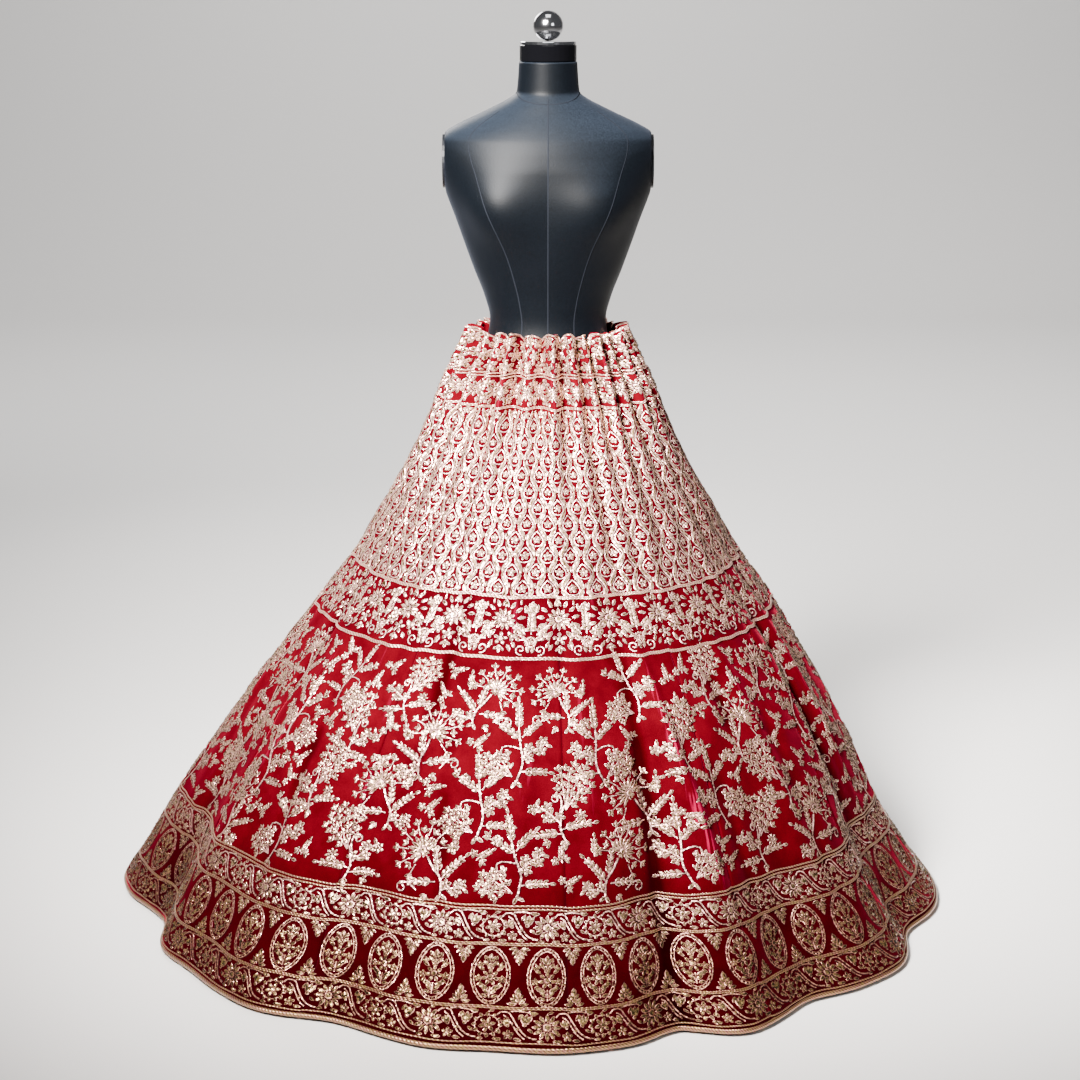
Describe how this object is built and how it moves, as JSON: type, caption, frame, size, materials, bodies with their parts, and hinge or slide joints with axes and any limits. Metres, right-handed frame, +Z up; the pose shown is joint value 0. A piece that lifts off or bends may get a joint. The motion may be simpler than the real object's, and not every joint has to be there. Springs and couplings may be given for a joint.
{
  "type": "lehenga skirt on limbless dress form",
  "caption": "Flared, gored velvet lehenga skirt with a gathered waist heading and piped hem, worn on a limbless dress form with neck cap, ball and round-footed stand.",
  "frame": {"origin": "centre of the stand foot's underside, on the floor", "axes": "+Z up; -Y is the front of the form and skirt; +X is the form's left side"},
  "size_m": [1.4932, 1.5137, 1.5719],
  "materials": {
    "velvet": "deep crimson silk velvet, pile down, with metallic thread embroidery",
    "gold_braid": "pale antique-gold metallic thread, braid and sequins",
    "form_cloth": "black close-woven cover with a soft sheen",
    "black_cap": "glossy black",
    "bright_steel": "polished bright steel",
    "black_paint": "satin black paint"
  },
  "bodies": {
    "root": {"kali_01": "velvet", "kali_02": "velvet", "kali_03": "velvet", "kali_04": "velvet", "kali_05": "velvet", "kali_06": "velvet", "kali_07": "velvet", "kali_08": "velvet", "kali_09": "velvet", "kali_10": "velvet", "kali_11": "velvet", "kali_12": "velvet", "waist_casing_left": "velvet", "waist_casing_right": "velvet", "hem_piping_1": "gold_braid", "hem_piping_2": "gold_braid", "hem_piping_3": "gold_braid", "hem_piping_4": "gold_braid", "form_torso": "form_cloth", "form_arm_plate_left": "black_cap", "form_arm_plate_right": "black_cap", "form_neck_cap": "black_cap", "form_cap_plate": "bright_steel", "form_ball": "bright_steel", "stand_foot": "black_paint", "stand_pole": "bright_steel"}
  },
  "joints": []
}
